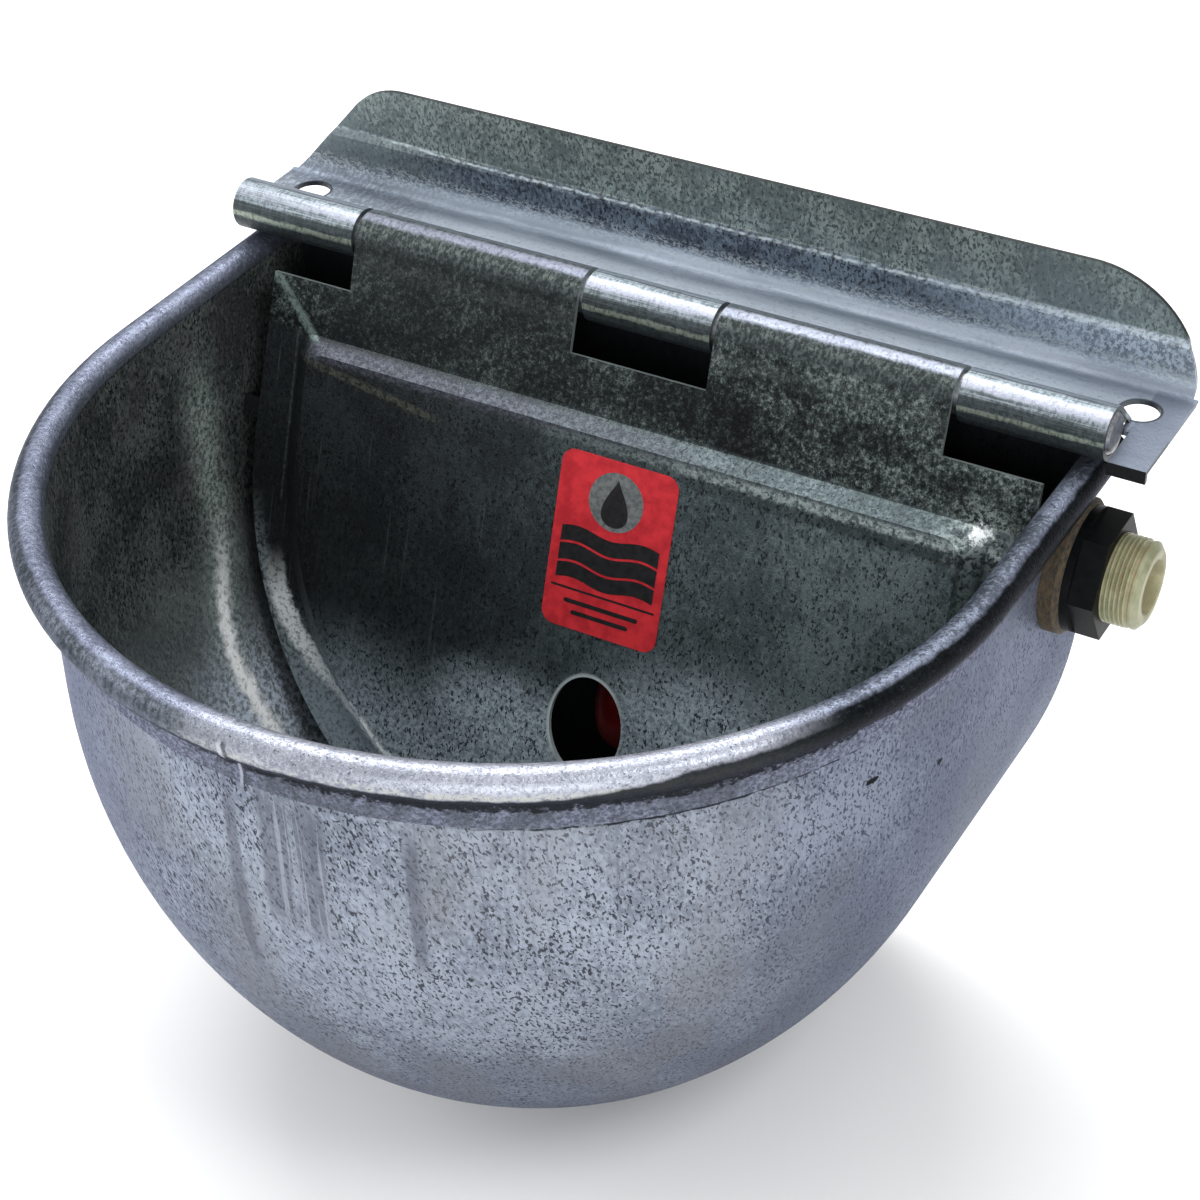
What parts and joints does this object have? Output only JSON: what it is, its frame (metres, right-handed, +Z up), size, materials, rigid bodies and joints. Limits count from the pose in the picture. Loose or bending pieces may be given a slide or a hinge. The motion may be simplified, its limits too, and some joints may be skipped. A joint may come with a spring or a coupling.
{
  "type": "automatic stock waterer",
  "caption": "Wall-hung galvanised drinking bowl for livestock with a hinged cover over a float valve and a threaded side inlet.",
  "frame": {"origin": "centre of the bracket's upper rear face, where it lies on the wall, at half the bowl's width", "axes": "+X to the inlet side, +Y to the wall, +Z up"},
  "size_m": [0.319, 0.2567, 0.251],
  "materials": {
    "zinc_bowl": "hot-dip galvanised, fine dark specks and streaks",
    "zinc_sheet": "galvanised sheet, dull",
    "zinc_bracket": "galvanised sheet with spangle",
    "zinc_cover": "galvanised, dark mottled",
    "steel_rod": "zinc-plated rod",
    "nylon": "moulded nylon, cream",
    "rubber": "matt black rubber",
    "fibre": "pressed fibre, brown",
    "black_plastic": "moulded, satin black",
    "brass_pin": "turned brass",
    "brass_lever": "stamped brass",
    "float_red": "moulded, red"
  },
  "bodies": {
    "frame": {"bowl": "zinc_bowl", "rear_wall": "zinc_sheet", "mounting_bracket": "zinc_bracket", "hinge_rod": "steel_rod", "cover_stops": "zinc_sheet", "valve_body": "nylon", "inner_gasket": "rubber", "fibre_washer": "fibre", "valve_nut": "black_plastic", "float_pivot_pin": "brass_pin"},
    "cover": {"float_cover": "zinc_cover"},
    "lever": {"float_lever": "brass_lever", "float": "float_red", "float_pin": "brass_pin"},
    "plunger": {"valve_plunger": "nylon", "plunger_seal": "rubber"}
  },
  "joints": [
    {"name": "cover_hinge", "type": "hinge", "parent": "frame", "child": "cover", "pos_m": [0, -0.038, -0.0218], "axis": [-1, 0, 0], "range_deg": [0, 171]},
    {"name": "float_pivot", "type": "hinge", "parent": "frame", "child": "lever", "pos_m": [0.1128, -0.0435, -0.0773], "axis": [0, 1, 0], "range_deg": [0, 25]},
    {"name": "plunger_slide", "type": "slide", "parent": "frame", "child": "plunger", "axis": [1, 0, 0], "range_m": [0, 0.00524]}
  ],
  "couplings": [
    {"joint": "plunger_slide", "follows": "float_pivot", "m_per_rad": 0.012}
  ]
}
